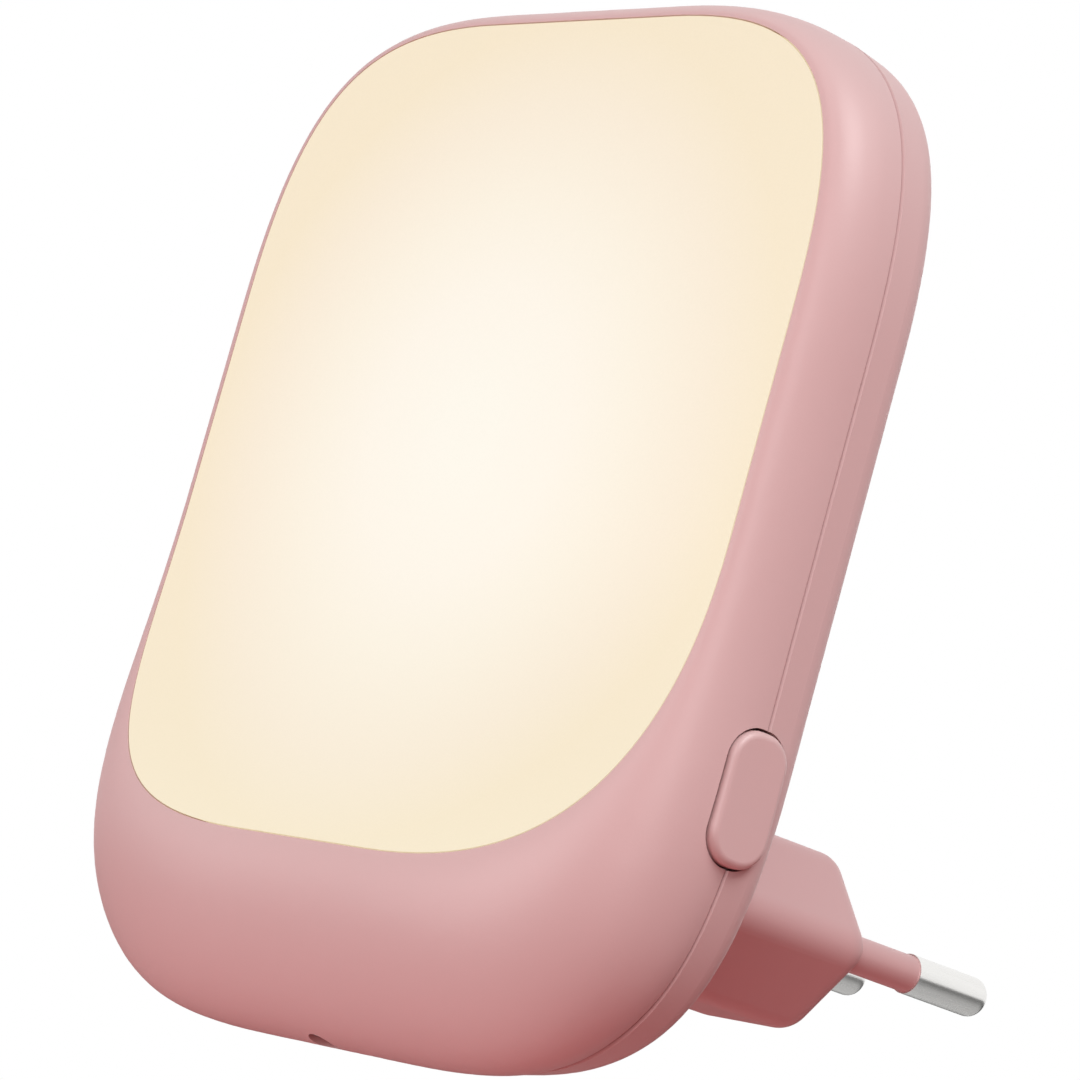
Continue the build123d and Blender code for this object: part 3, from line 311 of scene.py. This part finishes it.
# %% Nickel with turning marks
NICKEL = (0.90, 0.89, 0.87, 1)
NICKEL_RUBBED = (0.78, 0.77, 0.75, 1)
ROUND_THE_PIN = (0.15, 1.0, 0.15)
ALONG_THE_PIN = (1.0, 0.04, 1.0)
RING_MM = 0.35
RING_DEPTH_MM = 0.002
SCRATCH_MM = 0.5
SCRATCH_ROUGHNESS = 0.14
PLATED_ROUGHNESS = 0.2
nickel = Paint("nickel_plate", Metallic=1.0)
rings = nickel.noise(RING_MM, detail=3.0, rates=ROUND_THE_PIN)
scratches = nickel.noise(SCRATCH_MM, detail=4.0, rates=ALONG_THE_PIN)
nickel.set(Base_Color=nickel.mix(NICKEL, NICKEL_RUBBED, scratches),
           Roughness=scratches * SCRATCH_ROUGHNESS + PLATED_ROUGHNESS,
           Normal=nickel.bump(rings, RING_DEPTH_MM))
nickel.dress("contact_pin_left", "contact_pin_right")

# %% [markdown]
# ## What is inside
# None of this shows while the case is closed, but each piece still has the finish that it has
# on the bench. One function makes them all: two near colours that drift into each other in soft
# clouds, with the gloss and a slight waviness following the same clouds. What differs is the
# size of the clouds, the gloss and whether it is metal.
#
# The tray is plain white plastic. The boards are glass cloth under solder mask, white where the
# mask has to throw light forward and green where nobody looks.

# %% Tray and boards
CLOUD_ROUGHNESS = 0.15


def bench_finish(name, nodes, light, dark, cloud_mm, depth_mm, rough, metal=0.0, rates=(1, 1, 1)):
    paint = Paint(name, Metallic=metal)
    cloud = paint.noise(cloud_mm, detail=3.0, rates=rates)
    paint.set(Base_Color=paint.mix(light, dark, cloud), Roughness=cloud * CLOUD_ROUGHNESS + rough,
              Normal=paint.bump(cloud, depth_mm))
    paint.dress(*nodes)
    return paint


bench_finish("white_tray", ["light_box"], (0.86, 0.86, 0.84, 1), (0.80, 0.80, 0.78, 1),
             cloud_mm=0.4, depth_mm=0.004, rough=0.55)
bench_finish("white_mask", ["main_board"], (0.82, 0.83, 0.81, 1), (0.76, 0.77, 0.75, 1),
             cloud_mm=1.5, depth_mm=0.003, rough=0.25)
bench_finish("green_mask", ["driver_board"], (0.04, 0.20, 0.08, 1), (0.02, 0.13, 0.05, 1),
             cloud_mm=1.2, depth_mm=0.004, rough=0.22)

# %% [markdown]
# ## Parts on the boards
# The chip, the small resistors and the rectifier are moulded in black epoxy. The film capacitor
# is dipped in red lacquer, the electrolytic wears a dark shrunk sleeve, and the fusible resistor
# has a dull green coat that doesn't burn. The pins between the boards, the switch's cover and its
# snap dome are tin plate, with the faint lines of rolling.

# %% Epoxy, lacquers, sleeve and tin plate
ROLLED = (1, 0.2, 1)
bench_finish("epoxy", ["controller_chip", "chip_resistors", "bridge_rectifier"],
             (0.030, 0.030, 0.034, 1), (0.016, 0.016, 0.018, 1),
             cloud_mm=0.2, depth_mm=0.004, rough=0.5)
bench_finish("tin_plate", ["board_link", "switch_cover", "snap_dome"],
             (0.72, 0.73, 0.73, 1), (0.58, 0.59, 0.60, 1),
             cloud_mm=0.8, depth_mm=0.002, rough=0.2, metal=1.0, rates=ROLLED)
bench_finish("dipped_lacquer", ["film_capacitor"], (0.40, 0.03, 0.025, 1), (0.30, 0.02, 0.02, 1),
             cloud_mm=2.5, depth_mm=0.02, rough=0.2)
bench_finish("shrunk_sleeve", ["electrolytic_capacitor"],
             (0.03, 0.04, 0.07, 1), (0.02, 0.025, 0.045, 1),
             cloud_mm=1.0, depth_mm=0.006, rough=0.3)
bench_finish("flameproof_lacquer", ["fusible_resistor"], (0.18, 0.34, 0.28, 1), (0.13, 0.26, 0.21, 1),
             cloud_mm=0.5, depth_mm=0.008, rough=0.6)

# %% [markdown]
# ## Screws, switch, sensor and lamps
# The screws are zinc plated. The switch has a black plastic body and plunger. The light sensor
# is clear epoxy behind a window of smoked plastic. The small lamps are the only pieces inside
# that shine: their yellow phosphor gives off the warm white that the panel spreads.

# %% Zinc, black plastic, clear epoxy, smoked plastic and phosphor
PHOSPHOR_GLOW = (1.0, 0.80, 0.48, 1)
bench_finish("zinc_plate", ["case_screws", "board_screws", "block_screws"],
             (0.60, 0.61, 0.62, 1), (0.46, 0.48, 0.50, 1),
             cloud_mm=0.6, depth_mm=0.003, rough=0.28, metal=1.0)
bench_finish("black_plastic", ["switch_body", "switch_plunger"],
             (0.035, 0.035, 0.037, 1), (0.02, 0.02, 0.022, 1),
             cloud_mm=0.3, depth_mm=0.004, rough=0.45)
bench_finish("clear_epoxy", ["light_sensor"], (0.62, 0.66, 0.70, 1), (0.50, 0.55, 0.60, 1),
             cloud_mm=1.5, depth_mm=0.002, rough=0.08)
bench_finish("smoked_plastic", ["sensor_lens"], (0.060, 0.030, 0.030, 1), (0.040, 0.020, 0.022, 1),
             cloud_mm=1.0, depth_mm=0.002, rough=0.12)
phosphor = bench_finish("phosphor", ["leds"], (0.90, 0.72, 0.28, 1), (0.84, 0.64, 0.22, 1),
                        cloud_mm=0.4, depth_mm=0.004, rough=0.4)
phosphor.set(Emission_Color=PHOSPHOR_GLOW, Emission_Strength=2.0)

# %% [markdown]
# ## Camera
# The light is seen from its right side and a little from below, with the camera leaning, so
# the case tips over in the picture. A long lens from almost half a metre away keeps the
# perspective gentle. A constraint could aim the camera, but its place and lean are fixed, so
# one matrix says it all.

# %% Camera from the right, a little below
CAMERA_PLACE = Vector((367.8, -328.2, -44.4)) * MM
CAMERA_AIM = Vector((1.5, -43.5, 27.5)) * MM
CAMERA_LEAN_DEGREES = 15.54
LENS_MM = 167.9
SENSOR_MM = 36.0
NEAREST_SEEN = 0.01
lens = bpy.data.cameras.new("camera")
lens.lens = LENS_MM
lens.sensor_width = SENSOR_MM
lens.clip_start = NEAREST_SEEN
looking = (CAMERA_AIM - CAMERA_PLACE).normalized()
upright = looking.to_track_quat("-Z", "Y").to_matrix().to_4x4()
lean = Matrix.Rotation(math.radians(CAMERA_LEAN_DEGREES), 4, "Z")
camera = bpy.data.objects.new("camera", lens)
camera.matrix_world = Matrix.Translation(CAMERA_PLACE) @ upright @ lean
bpy.context.scene.collection.objects.link(camera)
bpy.context.scene.camera = camera
print("camera to aim in mm:", round((CAMERA_AIM - CAMERA_PLACE).length / MM))

# %% [markdown]
# ## Floor
# The light hangs in a socket, so the floor lies well below it, out of the way of the camera,
# which looks up from under the case. The floor is a plain pale sheet. What it throws back is
# most of the light on the underside, and it is tinted with the case's own rose, as a soft card
# held under the light would tint it, so the shaded chin stays warm instead of turning grey.
#
# More light would turn the sheet white, but would bleach the object with it. So a Light Path
# node says what kind of ray is looking. The camera and clear materials see the sheet lifted
# most of the way to white, with the object's shadow still on it. Reflections see the sheet as
# it is lit, so a polished pin keeps a pale upper side and a grey underside. The sheet's back is
# clear, so that the light can also be looked at from far below.

# %% The sheet
FLOOR_DROP = 0.36
SHEET_HALF_WIDTH = 20.0
sheet_mesh = bpy.data.meshes.new("floor")
sheet = bmesh.new()
bmesh.ops.create_grid(sheet, x_segments=2, y_segments=2, size=SHEET_HALF_WIDTH)
sheet.to_mesh(sheet_mesh)
sheet.free()
floor = bpy.data.objects.new("floor", sheet_mesh)
floor.location = (0, 0, solid_box[0].z - FLOOR_DROP)
bpy.context.scene.collection.objects.link(floor)
print("floor below the origin in mm:", round(-floor.location.z / MM))

# %% What each kind of ray sees of it
WHITE = (1, 1, 1, 1)
ROSE_CARD = (0.70, 0.17, 0.17, 1)
PALE_SHEET = (0.62, 0.62, 0.62, 1)
SHEET_ROUGHNESS = 0.9
WHITE_LIFT = 0.82
IN_VIEW = ("Is Camera Ray", "Is Transmission Ray")
LOOKED_AT = ("Is Camera Ray", "Is Glossy Ray", "Is Transmission Ray")
floor_paint = Paint("floor_sheet", Base_Color=ROSE_CARD, Roughness=SHEET_ROUGHNESS)
rose = Flow(floor_paint, floor_paint.shader.outputs[0])
pale = floor_paint.node("ShaderNodeBsdfPrincipled", {},
                        {"Base Color": PALE_SHEET, "Roughness": SHEET_ROUGHNESS})
white = floor_paint.node("ShaderNodeEmission", {}, {"Color": WHITE, "Strength": 1.0})
clear = floor_paint.node("ShaderNodeBsdfTransparent")
as_lit = floor_paint.blend(rose, pale, floor_paint.any_ray(LOOKED_AT))
from_above = floor_paint.blend(as_lit, white, floor_paint.any_ray(IN_VIEW) * WHITE_LIFT)
from_below = floor_paint.node("ShaderNodeNewGeometry", output="Backfacing")
floor_paint.show("Material Output", floor_paint.blend(from_above, clear, from_below))
sheet_mesh.materials.append(floor_paint.material)
print("nodes in the floor's material:", len(floor_paint.nodes))

# %% [markdown]
# ## World
# The world behind everything is white where it is looked at, also in reflections. As a source
# of light it is faint and a little warm, so that the lamps can shape the object. A sky or a
# picture of a studio would put shapes into the reflections that a plain colour doesn't.

# %% White to look at, faint as a light
DIM_WHITE = (1.0, 0.985, 0.97, 1)
DIM_STRENGTH = 0.10
world = bpy.data.worlds.new("studio")
bpy.context.scene.world = world
world.use_nodes = True
sky = Wiring(world.node_tree)
dim = sky.node("ShaderNodeBackground", {}, {"Color": DIM_WHITE, "Strength": DIM_STRENGTH})
bright = sky.node("ShaderNodeBackground", {}, {"Color": WHITE, "Strength": 1.0})
sky.show("World Output", sky.blend(dim, bright, sky.any_ray(LOOKED_AT)))
print("the world lights with a strength of", DIM_STRENGTH)

# %% [markdown]
# ## Lamps
# Four soft lamps give plain studio light. They are areas, because a point or a sun would throw
# hard shadows and small bright spots on the sheen of the plastic.
#
# The key lamp stands high on the right and lights the tops and the side wall. The front lamp on
# the left and a weaker one on the right fill the chin and the corner, and a lamp behind keeps
# the back of the case readable. That one is left out of reflections, or it would draw a bright
# line along the edge of the rear cover.

# %% Four soft lamps
def soft_lamp(name, place_mm, size_mm, watts, in_reflections=True):
    light = bpy.data.lights.new(name, "AREA")
    light.size = size_mm * MM
    light.energy = watts
    lamp = bpy.data.objects.new(name, light)
    lamp.location = Vector(place_mm) * MM
    lamp.rotation_euler = (CAMERA_AIM - lamp.location).to_track_quat("-Z", "Y").to_euler()
    lamp.visible_glossy = in_reflections
    bpy.context.scene.collection.objects.link(lamp)


soft_lamp("key_lamp", (640, -120, 780), size_mm=500, watts=8.1)
soft_lamp("front_lamp", (-480, -900, -20), size_mm=560, watts=5.1)
soft_lamp("corner_lamp", (600, -780, 160), size_mm=500, watts=3.4)
soft_lamp("back_lamp", (-450, 900, 250), size_mm=600, watts=4.8, in_reflections=False)

# %% [markdown]
# ## View settings
# The Standard view transform shows each colour as it was lit, with no film look on top. Every
# finish lies on the solids' own surfaces.

# %% View settings
bpy.context.scene.view_settings.view_transform = "Standard"
